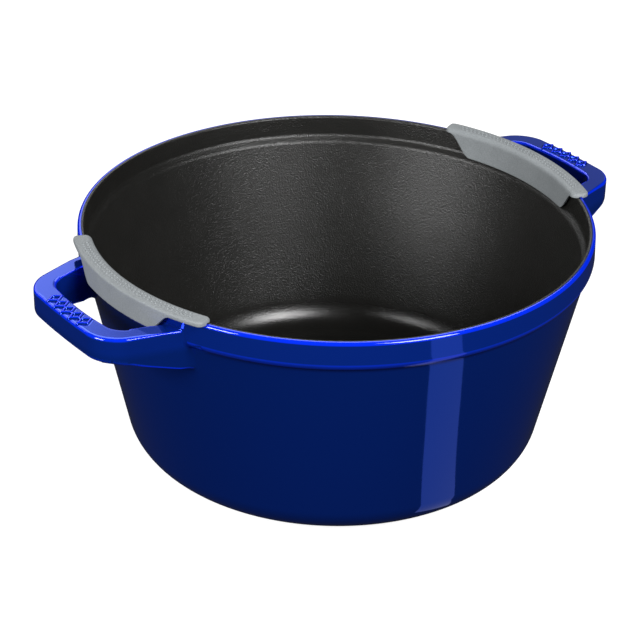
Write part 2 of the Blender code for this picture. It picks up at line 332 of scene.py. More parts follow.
# %% Black matte enamel
FLOOR_FADE = (0.011, 0.026)     # heights between which the smooth floor becomes the dry wall

black_enamel, place, shader = new_material("black_matte_enamel", Specular_IOR_Level=0.55)
grain = noise(place, 1350.0, 2.0)
cloud = noise(place, 60.0, 4.0)
dry = ramp(axis(place, "Z"), *FLOOR_FADE, 0.0, 1.0)
feed(shader,
     Base_Color=blend(grain * 0.6 + cloud * 0.4, colour(0.0052, 0.0051, 0.0046),
                      colour(0.014, 0.0137, 0.0125)),
     Roughness=cloud * 0.05 + dry * 0.09 + 0.20,
     Normal=bumps(grain * (dry * 0.7 + 0.3), strength=1.0, distance=0.0003))
print("black enamel:", len(black_enamel.node_tree.nodes), "nodes")

# %% [markdown]
# ## Grey silicone
#
# The guards are moulded in silicone rubber, which comes out of its mould with a dull, slightly
# dusty skin. Sheen or subsurface light could be added, but rubber this thick and this grey
# lets little through, so a fine two-tone dust with a shallow bump is enough.

# %% Grey silicone
silicone, place, shader = new_material("grey_silicone", Specular_IOR_Level=0.35)
dust = noise(place, 1500.0, 2.0)
cloud = noise(place, 90.0, 3.0)
feed(shader,
     Base_Color=blend(dust * 0.7 + cloud * 0.3, colour(0.13, 0.142, 0.150), colour(0.29, 0.312, 0.322)),
     Roughness=cloud * 0.1 + 0.5,
     Normal=bumps(dust, strength=0.8, distance=0.0003))
print("silicone:", len(silicone.node_tree.nodes), "nodes")

# %% [markdown]
# ## Bare cast iron
#
# Under the enamel, and on the ring that the pot stands on, the iron is bare: dark grey, with the
# pebbled skin that a sand mould leaves. It is half metal and half scale, so Metallic wanders
# between the two. The iron cores of the handles stay as the CAD made them and only get this
# material, because the enamel hides their shape.

# %% Bare cast iron
bare_iron, place, shader = new_material("bare_cast_iron", Specular_IOR_Level=0.4)
sand = noise(place, 700.0, 5.0)
cloud = noise(place, 45.0, 4.0)
feed(shader,
     Base_Color=blend(sand * 0.4 + cloud * 0.6, colour(0.018, 0.017, 0.017),
                      colour(0.060, 0.055, 0.052)),
     Metallic=cloud * 0.4 + 0.3,
     Roughness=sand * 0.3 + 0.5,
     Normal=bumps(sand, strength=0.5, distance=0.0004))
for name in ("iron_handle_left", "iron_handle_right"):
    frame["nodes"][name].data.materials.clear()
    frame["nodes"][name].data.materials.append(bare_iron)
print("cast iron:", len(bare_iron.node_tree.nodes), "nodes")

# %% [markdown]
# ## Selecting
#
# A mesh operator acts on whatever is selected. By hand that is done with clicks. In code it is
# done by place: every vertex or edge is tested, and the ones that pass are selected.


# %% Selecting
def select_only(obj):
    bpy.ops.object.select_all(action="DESELECT")
    obj.select_set(True)
    bpy.context.view_layer.objects.active = obj


def deselect_mesh():
    bpy.ops.mesh.select_mode(type="VERT")
    bpy.ops.mesh.select_all(action="DESELECT")


def select_marked(obj, marks):
    """Selects the vertices whose mark is true, and what lies between them."""
    deselect_mesh()
    mesh = bmesh.from_edit_mesh(obj.data)
    for vertex, mark in zip(mesh.verts, marks):
        vertex.select = mark
    mesh.select_flush(True)
    bmesh.update_edit_mesh(obj.data)


def select_vertices(obj, wanted):
    """Selects the vertices that pass a test on their place, and what lies between them."""
    mesh = bmesh.from_edit_mesh(obj.data)
    select_marked(obj, [wanted(vertex.co) for vertex in mesh.verts])


def select_edges(obj, wanted):
    """Selects the edges whose two ends both pass a test on their place, and counts them."""
    deselect_mesh()
    bpy.ops.mesh.select_mode(type="EDGE")
    mesh = bmesh.from_edit_mesh(obj.data)
    for edge in mesh.edges:
        edge.select = all(wanted(vertex.co) for vertex in edge.verts)
    bmesh.update_edit_mesh(obj.data)
    return sum(edge.select for edge in mesh.edges)


def same_place(place):
    """A test that only a vertex at this place passes."""
    return lambda co: (co - place).length < 1e-6


print("selecting helpers ready")

# %% [markdown]
# ## Turned pieces
#
# Coats and casting are all round, as if turned on a lathe. A cylinder could be scaled ring by
# ring, but a section is easier to draw and to change: a line of corners, each with its rounding,
# spun once about the pot's axis. The corners are rounded while the line is still flat, because a
# bevel on one vertex is easier to steer than one on a ring of edges.

# %% Turning helpers
TURNS = 256


def reach_of(before, here, after, radius):
    """How far along its sides a corner's rounding starts."""
    half = (before - here).angle(after - here) / 2
    return radius / math.tan(half)


def draw_line(name, places):
    """A plane merged to one vertex, which is extruded from place to place. Stays in edit mode."""
    bpy.ops.object.select_all(action="DESELECT")
    bpy.ops.mesh.primitive_plane_add(size=0.001, enter_editmode=True)
    bpy.ops.mesh.select_mode(type="VERT")
    bpy.ops.mesh.merge(type="CENTER")
    bpy.ops.transform.translate(value=places[0])
    for before, after in zip(places, places[1:]):
        bpy.ops.mesh.extrude_vertices_move(TRANSFORM_OT_translate={"value": after - before})
    obj = bpy.context.object
    obj.name = obj.data.name = name
    return obj


def turned(name, corners):
    """corners are (radius, height, rounding, steps), in order along the section."""
    places = [Vector((radius, 0.0, height)) for radius, height, _, _ in corners]
    obj = draw_line(name, places)
    for index, (_, _, rounding, steps) in enumerate(corners):
        if not rounding:
            continue
        reach = reach_of(places[index - 1], places[index], places[index + 1], rounding)
        select_vertices(obj, same_place(places[index]))
        bpy.ops.mesh.bevel(offset=reach, segments=steps, affect="VERTICES", clamp_overlap=False)
    bpy.ops.mesh.select_all(action="SELECT")
    bpy.ops.mesh.spin(steps=TURNS, angle=2 * math.pi, center=(0, 0, 0), axis=(0, 0, 1))
    bpy.ops.mesh.select_all(action="SELECT")
    bpy.ops.mesh.remove_doubles(threshold=1e-6)
    bpy.ops.mesh.normals_make_consistent(inside=False)
    bpy.ops.object.mode_set(mode="OBJECT")
    return obj


print("turned pieces have", TURNS, "sides")

# %% [markdown]
# ## Finishing a piece
#
# Three steps are the same for most pieces. A coat is drawn as a surface without thickness, and a
# Solidify modifier gives it its wall on the inner side, which is surer than drawing two lines a
# hair apart. The blue pieces store their "edge" values: along each mesh edge, the change of the
# normals says how sharply the surface bends there. Then the piece gets its material and smooth
# shading, it is parented to the CAD body that it rides on, and the CAD node that it stands for is
# hidden.

# %% Finishing helpers
def apply_modifier(obj, modifier):
    bpy.context.view_layer.objects.active = obj
    bpy.ops.object.modifier_apply(modifier=modifier.name)


def add_wall(obj, thickness):
    """Gives an open surface its thickness on the inner side."""
    wall = obj.modifiers.new("Wall", "SOLIDIFY")
    wall.thickness = thickness
    wall.offset = -1.0
    wall.use_even_offset = True
    apply_modifier(obj, wall)


def shade(obj, material, smooth_angle=35):
    """Material and smooth shading."""
    select_only(obj)
    obj.data.materials.clear()
    obj.data.materials.append(material)
    bpy.ops.object.shade_smooth_by_angle(angle=math.radians(smooth_angle))


def belongs(obj, body, node):
    """Parents the piece to the CAD body that it rides on and hides the CAD node that it stands for."""
    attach(obj, body)
    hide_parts(node)
    print(obj.name, "has", len(obj.data.polygons), "faces")


print("finishing helpers ready")


# %% Edge attribute
def bend_of(mesh, lines, count):
    """How sharply the surface bends outwards at each vertex: one over the radius of the bend."""
    bend = [0.0] * len(count)
    for a, b in lines:
        one, two = mesh.vertices[a], mesh.vertices[b]
        along = one.co - two.co
        square = max(along.length_squared, 1e-14)
        bend[a] += 2 * one.normal.dot(along) / square
        bend[b] -= 2 * two.normal.dot(along) / square
    return [total / max(n, 1) for total, n in zip(bend, count)]


def store_edge(obj, flat=40.0, full=200.0, passes=0, hollow=1.0):
    """Stores the bend as "edge": 0 up to flat, 1 from full on, and negative in hollows."""
    lines = [tuple(line.vertices) for line in obj.data.edges]
    count = [0] * len(obj.data.vertices)
    for a, b in lines:
        count[a] += 1
        count[b] += 1
    values = bend_of(obj.data, lines, count)
    for _ in range(passes):
        total = list(values)
        for a, b in lines:
            total[a] += values[b]
            total[b] += values[a]
        values = [t / (n + 1) for t, n in zip(total, count)]
    values = [math.copysign(min(max((abs(v) - flat) / (full - flat), 0.0), 1.0), v) for v in values]
    values = [v if v > 0 else hollow * v for v in values]
    # These values steer painted light in the blue enamel: a painted highlight on edges and painted
    # shade in hollows.
    attribute = obj.data.attributes.new("edge", "FLOAT", "POINT")
    attribute.data.foreach_set("value", values)
    print(obj.name, "mean edge value", round(sum(values) / len(values), 3))


print("edge helper ready")

# %% [markdown]
# ## Blue coat of the bowl
#
# The gloss coat runs from the outer edge of the rim over a thick band and a groove, down the
# drafted wall and a short way round the base, where it stops short of the ring that the pot
# stands on. The base corner is an arc that ends part of the way round, so its points are worked
# out. Two plain corners on the band and one on the wall keep the bright edges narrow: without
# them the shading of a rounding would spread over the flat beside it.

# %% Blue coat of the bowl
COAT_END_ANGLE = math.radians(20)    # where the coat stops, from the lowest point of the fillet
BAND_ROUNDING = 0.0040
GROOVE_ROUNDING = 0.0012
RIM_ROUNDING = 0.0014
FILLET_STEPS = 14
BELOW_RIM = (RIM_RADIUS + 0.00006, POT_HEIGHT - 0.0016)
ABOVE_BAND_FOOT = (BAND_FOOT[0] - 0.00013, BAND_FOOT[1] + 0.0036)
WALL_TOP = GROOVE[1] - 0.0022

lean = math.atan(WALL_SLOPE)
fillet_centre = (WALL_FOOT[0] + WALL_SLOPE * BASE_FILLET - BASE_FILLET / math.cos(lean), BASE_FILLET)


def fillet_point(angle, radius=BASE_FILLET):
    """A point on the base fillet, at an angle from its lowest point."""
    return (fillet_centre[0] + radius * math.sin(angle), fillet_centre[1] - radius * math.cos(angle))


arc = [fillet_point(COAT_END_ANGLE + (math.pi / 2 - lean - COAT_END_ANGLE) * step / FILLET_STEPS)
       for step in range(FILLET_STEPS, -1, -1)]
coat_corners = [
    (RIM_RADIUS - 0.0018, POT_HEIGHT, 0, 0),
    (RIM_RADIUS, POT_HEIGHT, RIM_ROUNDING, 7),
    (*BELOW_RIM, 0, 0),
    (*ABOVE_BAND_FOOT, 0, 0),
    (*BAND_FOOT, BAND_ROUNDING, 8),
    (*GROOVE, GROOVE_ROUNDING, 5),
    (WALL_FOOT[0] + WALL_SLOPE * WALL_TOP, WALL_TOP, 0, 0),
] + [(radius, height, 0, 0) for radius, height in arc]
blue_coat = turned("blue_coat_bowl", coat_corners)
coat_skin = BVHTree.FromObject(blue_coat, bpy.context.evaluated_depsgraph_get())
store_edge(blue_coat)
add_wall(blue_coat, COAT)
shade(blue_coat, blue_enamel)
belongs(blue_coat, "pot", "exterior_enamel")

# %% [markdown]
# ## Black lining
#
# The matte coat covers the cooking floor, the inner wall, the sloped seat that the lid sits on
# and the flat top of the rim, where it meets the blue. It is turned like the blue coat. The seat
# gets generous roundings, because they catch the two lines of light that show its shape.

# %% Black lining
FLOOR_FILLET = 0.0180
SEAT_TOP = POT_HEIGHT - 0.0113
SEAT_FOOT = SEAT_TOP - 0.0029
lining_corners = [
    (0.0, FLOOR_HEIGHT, 0, 0),
    (inner_wall(FLOOR_HEIGHT), FLOOR_HEIGHT, FLOOR_FILLET, 14),
    (inner_wall(SEAT_FOOT), SEAT_FOOT, 0.0034, 8),
    (RIM_INSIDE - 0.0001, SEAT_TOP, 0.0028, 8),
    (RIM_INSIDE, POT_HEIGHT, 0.0010, 6),
    (RIM_RADIUS - 0.0020, POT_HEIGHT, 0, 0),
]
lining = turned("black_lining", lining_corners)
add_wall(lining, COAT)
shade(lining, black_enamel)
belongs(lining, "pot", "interior_enamel")

# %% [markdown]
# ## Iron casting
#
# Between the coats is the iron, and only its underside and foot ring are bare. The whole casting
# is still turned as one closed section, a gap inside both coats, because a pot cut open or
# lifted off its stand should show iron and not an empty shell.

# %% Iron casting
UNDER_COAT = COAT + GAP
COAT_END_GAP = 0.0136                # angle between the end of the coat and the iron's step
FOOT_INSIDE = 0.0790
FOOT_HEIGHT = 0.0010
FOOT_DRAFT = 0.0010
FOOT_ROUNDING = 0.0006
step_angle = COAT_END_ANGLE - COAT_END_GAP
iron_corners = [
    (0.0, FLOOR_HEIGHT - UNDER_COAT, 0, 0),
    (inner_wall(FLOOR_HEIGHT) + UNDER_COAT, FLOOR_HEIGHT - UNDER_COAT, FLOOR_FILLET + UNDER_COAT, 8),
    (inner_wall(SEAT_FOOT) + UNDER_COAT, SEAT_FOOT, 0, 0),
    (RIM_INSIDE + UNDER_COAT, SEAT_TOP, 0, 0),
    (RIM_INSIDE + UNDER_COAT, POT_HEIGHT - UNDER_COAT, 0, 0),
    (RIM_RADIUS - UNDER_COAT, POT_HEIGHT - UNDER_COAT, 0, 0),
    (BAND_FOOT[0] - UNDER_COAT, BAND_FOOT[1] + UNDER_COAT, 0.0030, 3),
    (GROOVE[0] - UNDER_COAT, GROOVE[1], 0, 0),
] + [(radius - UNDER_COAT, height, 0, 0) for radius, height in arc[:-1:2]] + [
    (*fillet_point(step_angle, BASE_FILLET - UNDER_COAT), 0, 0),
] + [(*fillet_point(angle), 0, 0) for angle in (step_angle, COAT_END_ANGLE / 2, 0.0)] + [
    (FOOT_INSIDE, 0.0, FOOT_ROUNDING, 3),
    (FOOT_INSIDE - FOOT_DRAFT, FOOT_HEIGHT, FOOT_ROUNDING, 3),
    (0.0, FOOT_HEIGHT, 0, 0),
]
casting = turned("iron_casting", iron_corners)
shade(casting, bare_iron)
belongs(casting, "pot", "iron_pot_body")

# %% [markdown]
# ## Loop handles: the plan
#
# A loop handle is cast with the pot, so there is no seam: the arms run into the wall through
# soft fillets, and the enamel rounds every edge. It could be swept along a curve, but its arms
# change width all the way, so it is drawn in plan, as a pattern maker would: an outer and an
# inner line of corners, each with its rounding, from the wall round the grip and back.

# %% Plan of the handle
HANDLE_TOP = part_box("handle_enamel_right")[1].z
ROOT_X = RIM_RADIUS - 0.0210         # the arms start this deep inside the wall
OUTER_PLAN = [(ROOT_X, 0.05098, 0), (0.1618, 0.0358, 0.0182), (0.1633, 0.0, 0.3800),
              (0.1618, -0.0358, 0.0182), (ROOT_X, -0.05098, 0)]
INNER_PLAN = [(ROOT_X, 0.04167, 0), (0.1503, 0.0294, 0.0103), (0.1532, 0.0, 0.1500),
              (0.1503, -0.0294, 0.0103), (ROOT_X, -0.04167, 0)]


def draw_outline(name, places, roundings, steps=8):
    """A closed flat outline with rounded corners, filled. Stays in edit mode."""
    obj = draw_line(name, places)
    is_first, is_last = same_place(places[0]), same_place(places[-1])
    select_vertices(obj, lambda co: is_first(co) or is_last(co))
    bpy.ops.mesh.edge_face_add()
    for index, rounding in enumerate(roundings):
        if not rounding:
            continue
        here, before, after = places[index], places[index - 1], places[(index + 1) % len(places)]
        longest = 0.48 * min((before - here).length, (after - here).length)
        reach = min(reach_of(before, here, after, rounding), longest)
        select_vertices(obj, same_place(here))
        bpy.ops.mesh.bevel(offset=reach, segments=steps, affect="VERTICES", clamp_overlap=False)
    bpy.ops.mesh.select_all(action="SELECT")
    bpy.ops.mesh.edge_face_add()
    return obj


plan = OUTER_PLAN + INNER_PLAN[::-1]
loop = draw_outline("handle_loop", [Vector((x, y, HANDLE_TOP)) for x, y, _ in plan],
                    [rounding for _, _, rounding in plan], steps=20)
print("handle top at", round(HANDLE_TOP, 4))

# %% [markdown]
# ## Loop handles: the loop
#
# The plan is pulled down to the thickness of the grip. Towards the wall the real arms get deeper,
# like a bracket, so the underside is cut across where that starts and sloped down from there.
# Then the top and bottom edges are rounded with a bevel each: tight on top, where the hand rests
# on the flat, and rounder below, where the fingers close.

# %% The loop
GRIP_DEPTH = 0.0140
ARM_SLOPE_FROM = RIM_RADIUS + 0.0240
ARM_SLOPE = 0.22
TOP_EDGE = 0.0013
LOWER_EDGE = 0.0029
grip_underside = HANDLE_TOP - GRIP_DEPTH

bpy.ops.mesh.extrude_region_move(TRANSFORM_OT_translate={"value": (0, 0, -GRIP_DEPTH)})
bpy.ops.mesh.select_all(action="SELECT")
bpy.ops.mesh.bisect(plane_co=(ARM_SLOPE_FROM, 0, 0), plane_no=(1, 0, 0))
mesh = bmesh.from_edit_mesh(loop.data)
for vertex in mesh.verts:
    if vertex.co.z < grip_underside + 1e-4:
        vertex.co.z -= ARM_SLOPE * max(ARM_SLOPE_FROM - vertex.co.x, 0.0)
bmesh.update_edit_mesh(loop.data)
bpy.ops.mesh.select_all(action="SELECT")
bpy.ops.mesh.normals_make_consistent(inside=False)


def outside_wall(co):
    """True except at the cut ends of the arms."""
    return co.x > ROOT_X + 1e-4


def on_underside(co):
    """True on the sloping underside of the loop."""
    return abs(co.z - grip_underside + ARM_SLOPE * max(ARM_SLOPE_FROM - co.x, 0.0)) < 2e-5


found = select_edges(loop, lambda co: co.z > HANDLE_TOP - 1e-5 and outside_wall(co))
bpy.ops.mesh.bevel(offset=TOP_EDGE, segments=4, affect="EDGES", clamp_overlap=False)
print("top edges rounded:", found)
found = select_edges(loop, lambda co: on_underside(co) and outside_wall(co))
bpy.ops.mesh.bevel(offset=LOWER_EDGE, segments=4, affect="EDGES", clamp_overlap=False)
print("lower edges rounded:", found)
bpy.ops.object.mode_set(mode="OBJECT")

# %% [markdown]
# ## Loop handles: a slice of the wall
#
# A fillet needs both of the surfaces that it joins. The bowl is far too big to remesh finely, so
# a short slice of its wall is spun at the handle, with the same band and groove, and is used as
# a stand-in for it. It is cut away again once the fillets are made.

# %% Slice of the wall
SLICE_TURNS = 20                     # steps of the bowl's own spin, to each side
SLICE_FOOT = 0.082
SLICE_INSIDE = 0.116
start = -SLICE_TURNS * 2 * math.pi / TURNS
slice_section = [(RIM_RADIUS, POT_HEIGHT, 0), (*BAND_FOOT, BAND_ROUNDING), (*GROOVE, GROOVE_ROUNDING),
                 (WALL_FOOT[0] + WALL_SLOPE * SLICE_FOOT, SLICE_FOOT, 0),
                 (SLICE_INSIDE, SLICE_FOOT, 0), (SLICE_INSIDE, POT_HEIGHT, 0)]


def spun_section(name, section, from_angle, to_angle, spin_steps, corner_steps):
    """Draws corners of (radius, height, rounding) at one angle and spins them to another."""
    places = [Vector((radius * math.cos(from_angle), radius * math.sin(from_angle), height))
              for radius, height, _ in section]
    obj = draw_outline(name, places, [rounding for _, _, rounding in section], steps=corner_steps)
    bpy.ops.mesh.spin(steps=spin_steps, angle=from_angle - to_angle, center=(0, 0, 0), axis=(0, 0, 1))
    bpy.ops.mesh.select_all(action="SELECT")
    bpy.ops.mesh.normals_make_consistent(inside=False)
    return obj


wall_slice = spun_section("wall_slice", slice_section, start, -start, 2 * SLICE_TURNS, 8)
bpy.ops.object.mode_set(mode="OBJECT")
print("slice", [round(c, 4) for c in wall_slice.dimensions])

# %% [markdown]
# ## Loop handles: ornament
#
# The grip carries a raised ornament, cast in, which the enamel softens. Here it is a row of five
# plain diamond rings that follows the bow of the grip. A ring with four corners is a torus with
# four segments, so each one is a torus, squeezed and set on the top.


# %% Ornament of the grip
def lozenge(name, place, size, thickness):
    """A raised diamond ring, lying on the grip's top."""
    bpy.ops.object.select_all(action="DESELECT")
    bpy.ops.mesh.primitive_torus_add(major_segments=4, minor_segments=12, major_radius=size[0],
                                     minor_radius=thickness)
    obj = bpy.context.object
    obj.name = obj.data.name = name
    bpy.ops.transform.resize(value=(1.0, size[1] / size[0], 1.0))
    bpy.ops.transform.translate(value=place)
    bpy.ops.object.transform_apply(location=True, rotation=True, scale=True)
    return obj


LOZENGES = 5
LOZENGE_STEP = 0.0068
LOZENGE_SIZE = (0.0036, 0.0027)
LOZENGE_THICKNESS = 0.0009
LOZENGE_RISE = 0.0002
GRIP_MIDDLE = 0.1583
GRIP_BOW = 9.0                       # one over the radius of the bow
ornament = []
for index in range(LOZENGES):
    y = LOZENGE_STEP * (index - LOZENGES // 2)
    x = GRIP_MIDDLE - GRIP_BOW * y * y / 2
    place = (x, y, HANDLE_TOP + LOZENGE_RISE)
    ornament.append(lozenge(f"lozenge_{index}", place, LOZENGE_SIZE, LOZENGE_THICKNESS))
print("ornaments:", len(ornament))

# %% [markdown]
# ## Loop handles: one skin
#
# Loop, slice and ornament still pass through each other. A Boolean would leave long thin faces
# that don't smooth well. A voxel remesh gives one closed skin of small even faces round all of
# them, and small even faces are what the next step needs.


# %% One skin
def join(parts):
    """Joins the other objects into the first."""
    bpy.ops.object.select_all(action="DESELECT")
    for part in parts:
        part.select_set(True)
    bpy.context.view_layer.objects.active = parts[0]
    bpy.ops.object.join()
    return parts[0]


def remesh(obj, size):
    """Replaces the mesh by one closed skin of small even faces round all its parts."""
    select_only(obj)
    obj.data.remesh_voxel_size = size
    obj.data.remesh_voxel_adaptivity = 0.0
    bpy.ops.object.voxel_remesh()
    print(obj.name, "remeshed:", len(obj.data.vertices), "vertices")


loop_skin = BVHTree.FromObject(loop, bpy.context.evaluated_depsgraph_get())
handle = join([loop, wall_slice] + ornament)
handle.name = handle.data.name = "blue_handle_right"
remesh(handle, 0.0004)

# %% [markdown]
# ## Loop handles: fillets
#
# Smoothing pulls every point towards its neighbours, which rounds a sharp inner corner into a
# fillet. Done everywhere it would shrink the grip and wipe out the ornament. So each point gets
# a weight: full where the loop and the wall are both near, less towards the top, where the real
# fillet is tight, and a trace elsewhere, which is how the enamel softens the ornament.

# %% Fillets
FILLET = 0.0072
FILLET_PASSES = 150
TOP_WEIGHT = 0.25                    # share of the smoothing that is left at the top
TOP_FADE = 0.0040
LEAST_WEIGHT = 0.03


def ease(share):
    """Eases from 0 to 1 as a share goes from 0 to 1."""
    share = min(max(share, 0.0), 1.0)
    return share * share * (3 - 2 * share)


def nearness(distance, reach, spare):
    """1 close by and 0 from the reach on. More spare makes the close part wider."""
    return ease(spare - spare * distance / reach)


def height_over_wall(co):
    """Distance from the coat of the bowl, negative inside it."""
    place, normal, _, _ = coat_skin.find_nearest(co)
    return (co - place).dot(normal)


def soften(obj, passes, group=""):
    """Smooths a mesh, where a vertex group is given by its weights."""
    smooth = obj.modifiers.new("Soften", "SMOOTH")
    smooth.factor = 0.5
    smooth.iterations = passes
    smooth.vertex_group = group
    apply_modifier(obj, smooth)


near_wall = [height_over_wall(vertex.co) for vertex in handle.data.vertices]
near_loop = [loop_skin.find_nearest(vertex.co)[3] for vertex in handle.data.vertices]
group = handle.vertex_groups.new(name="soften")
for vertex, wall, loop_distance in zip(handle.data.vertices, near_wall, near_loop):
    weight = nearness(abs(wall), FILLET, 1.4) * nearness(loop_distance, FILLET, 1.4)
    weight *= TOP_WEIGHT + (1 - TOP_WEIGHT) * ease((HANDLE_TOP - vertex.co.z) / TOP_FADE)
    group.add([vertex.index], max(weight, LEAST_WEIGHT), "REPLACE")
soften(handle, FILLET_PASSES, group.name)
print("fillets reach", FILLET, "m from the corner")

# %% [markdown]
# ## Loop handles: trimming
#
# Now the slice goes. What lies inside the coat of the bowl is deleted, and so is the slice's own
# surface away from the handle, and the one part that holds the grip is kept. What is left is a
# handle whose fillets end exactly on the bowl, open where it meets the wall.

# %% Trim the slice away
COAT_SURFACE = 0.000005
SLICE_SURFACE = 0.0004
GRIP_FROM = RIM_RADIUS + 0.0250
heights = [height_over_wall(vertex.co) for vertex in handle.data.vertices]
bpy.ops.object.mode_set(mode="EDIT")
select_marked(handle, [wall < COAT_SURFACE or (wall < SLICE_SURFACE and loop_distance > FILLET)
                       for wall, loop_distance in zip(heights, near_loop)])
bpy.ops.mesh.delete(type="VERT")
bpy.ops.mesh.select_all(action="SELECT")
bpy.ops.mesh.delete_loose(use_verts=True, use_edges=True, use_faces=False)
select_vertices(handle, lambda co: co.x > GRIP_FROM)
bpy.ops.mesh.select_linked()
bpy.ops.mesh.select_all(action="INVERT")
bpy.ops.mesh.delete(type="VERT")
bpy.ops.object.mode_set(mode="OBJECT")
handle.vertex_groups.clear()
store_edge(handle, flat=90.0, full=330.0, passes=2, hollow=0.3)
shade(handle, blue_enamel, smooth_angle=60)
print("trimmed handle:", len(handle.data.vertices), "vertices")

# %% [markdown]
# ## Loop handles: running into the wall
#
# The fillet ends on the bowl's surface, but its shading would still stop in a visible line. A
# Data Transfer modifier takes the bowl's normals over for the last millimetre, so that light
# runs on from the fillet into the wall as over one casting. That changes the shading only, and
# it is cheaper and cleaner than a real join of a fine mesh with a coarse one.

# %% Run the fillets into the wall
FEATHER = 0.0012
group = handle.vertex_groups.new(name="feather")
for vertex in handle.data.vertices:
    group.add([vertex.index], nearness(height_over_wall(vertex.co), FEATHER, 1.3), "REPLACE")
feather = handle.modifiers.new("Feather", "DATA_TRANSFER")
feather.object = blue_coat
feather.use_loop_data = True
feather.data_types_loops = {"CUSTOM_NORMAL"}
feather.loop_mapping = "POLYINTERP_NEAREST"
feather.vertex_group = group.name
apply_modifier(handle, feather)
handle.vertex_groups.clear()
print("normals shared over", FEATHER, "m")

# %% [markdown]
# ## Second handle
#
# Both handles come from one pattern. The second could be mirrored, but a mirror turns faces
# inside out, and half a turn about the pot's axis gives the same shape here. The copy gets its
# own mesh, and the turn is applied, so that its finish lies on it as on the first. It is made
# before either handle is tied to the CAD model, so that each stands only for its own node.


# %% Second handle
def turned_copy(piece, name, angle):
    """A copy of a piece with its own mesh, turned about the pot's axis."""
    select_only(piece)
    bpy.ops.object.duplicate()
    copy = bpy.context.object
    copy.name = copy.data.name = name
    copy.rotation_euler = (0, 0, angle)
    bpy.ops.object.transform_apply(location=True, rotation=True, scale=True)
    return copy


second_handle = turned_copy(handle, "blue_handle_left", math.pi)
belongs(handle, "pot", "handle_enamel_right")
belongs(second_handle, "pot", "handle_enamel_left")

# %% [markdown]
# ## Silicone guards: the saddle
#
# Each guard is a soft saddle moulded in one piece: a band over the rim, a short flap outside and
# a longer one inside. It keeps whatever rests on the rim off the enamel. It could be bent from a
# flat strip, but its section is the same all along, so the section is drawn at one end and spun
# along the rim.

# %% Spin the saddle
GUARD_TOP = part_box("rim_guard_right")[1].z
GUARD_UNDER = POT_HEIGHT + 0.0003
GUARD_OUTSIDE, GUARD_OUTER_FACE = 0.1355, 0.1329
GUARD_INNER_FACE, GUARD_INSIDE = 0.1281, 0.1259
GUARD_HALF_ANGLE = 0.0569 / RIM_RADIUS
GUARD_STEPS = 190
OUTER_DEPTH = 0.0100
INNER_DEPTH = 0.0126
OUTER_FOOT = POT_HEIGHT - OUTER_DEPTH
INNER_FOOT = POT_HEIGHT - INNER_DEPTH
guard_section = [
    (GUARD_INSIDE, GUARD_TOP, 0.0024), (GUARD_OUTSIDE, GUARD_TOP, 0.0009),
    (GUARD_OUTSIDE, OUTER_FOOT, 0), (GUARD_OUTER_FACE, OUTER_FOOT, 0),
    (GUARD_OUTER_FACE, GUARD_UNDER, 0), (GUARD_INNER_FACE, GUARD_UNDER, 0),
    (GUARD_INNER_FACE, POT_HEIGHT - 0.0112, 0), (GUARD_INNER_FACE - 0.0016, INNER_FOOT, 0),
    (GUARD_INSIDE, INNER_FOOT, 0),
]
guard = spun_section("grey_guard_right", guard_section, -GUARD_HALF_ANGLE, GUARD_HALF_ANGLE,
                     GUARD_STEPS, 4)
mesh = bmesh.from_edit_mesh(guard.data)
print("saddle:", len(mesh.verts), "vertices")

# %% [markdown]
# ## Silicone guards: the flaps
#
# The flaps don't run to the ends: each rises in an S to a narrow lip, the outer one early, to
# clear the handle, and the inner one late. The ends are rounded in plan and drop a little. A
# lattice could bend the saddle so, but each of these is a plain rule of where a point stands
# along the rim, so the points are moved by rule.

# %% Shape the flaps
GUARD_LIP = 0.0002
OUTER_FLAP = (OUTER_DEPTH, 0.0258, 0.0129)    # depth, half its full length, length of the rise
INNER_FLAP = (INNER_DEPTH, 0.0392, 0.0147)
FLAPS_BELOW = GUARD_TOP - 0.0027
OUTER_FLAP_FROM, INNER_FLAP_TO = 0.1325, 0.1285
TOP_FROM = POT_HEIGHT + 0.0008
GUARD_CORNER = 0.0034
GUARD_END_DROP = 0.0012


def flap_rise(along, flap):
    """How far a flap's edge is lifted at a distance from the guard's middle."""
    depth, full_to, rise_length = flap
    share = min(max((abs(along) - full_to) / rise_length, 0.0), 1.0)
    return (depth - GUARD_LIP) * (1 - math.cos(math.pi * share)) / 2


def quarter(distance, radius):
    """How far a round corner falls back at a distance from the end."""
    near = max(radius - distance, 0.0)
    return radius - math.sqrt(max(radius * radius - near * near, 0.0))


middle = (GUARD_OUTSIDE + GUARD_INSIDE) / 2
half_width = (GUARD_OUTSIDE - GUARD_INSIDE) / 2
for vertex in mesh.verts:
    radius, angle = math.hypot(vertex.co.x, vertex.co.y), math.atan2(vertex.co.y, vertex.co.x)
    along = RIM_RADIUS * angle
    from_end = max(RIM_RADIUS * GUARD_HALF_ANGLE - abs(along), 0.0)
    if vertex.co.z < FLAPS_BELOW and radius > OUTER_FLAP_FROM:
        vertex.co.z += flap_rise(along, OUTER_FLAP)
    elif vertex.co.z < FLAPS_BELOW and radius < INNER_FLAP_TO:
        vertex.co.z += flap_rise(along, INNER_FLAP)
    if vertex.co.z > TOP_FROM:
        vertex.co.z -= quarter(from_end, GUARD_END_DROP)
    narrowed = middle + (radius - middle) * (1 - quarter(from_end, GUARD_CORNER) / half_width)
    vertex.co.x *= narrowed / radius
    vertex.co.y *= narrowed / radius
bmesh.update_edit_mesh(guard.data)
bpy.ops.object.mode_set(mode="OBJECT")
print("guard box", [round(c, 4) for c in guard.dimensions])

# %% [markdown]
# ## Silicone guards: round edges
#
# Rubber can't leave a mould with sharp edges. A bevel would follow the long thin faces of the
# spin, so the saddle is remeshed into small even ones and smoothed a few times instead.

# %% Remesh and soften the saddle
remesh(guard, 0.00035)
soften(guard, passes=8)
print(guard.name, "softened")

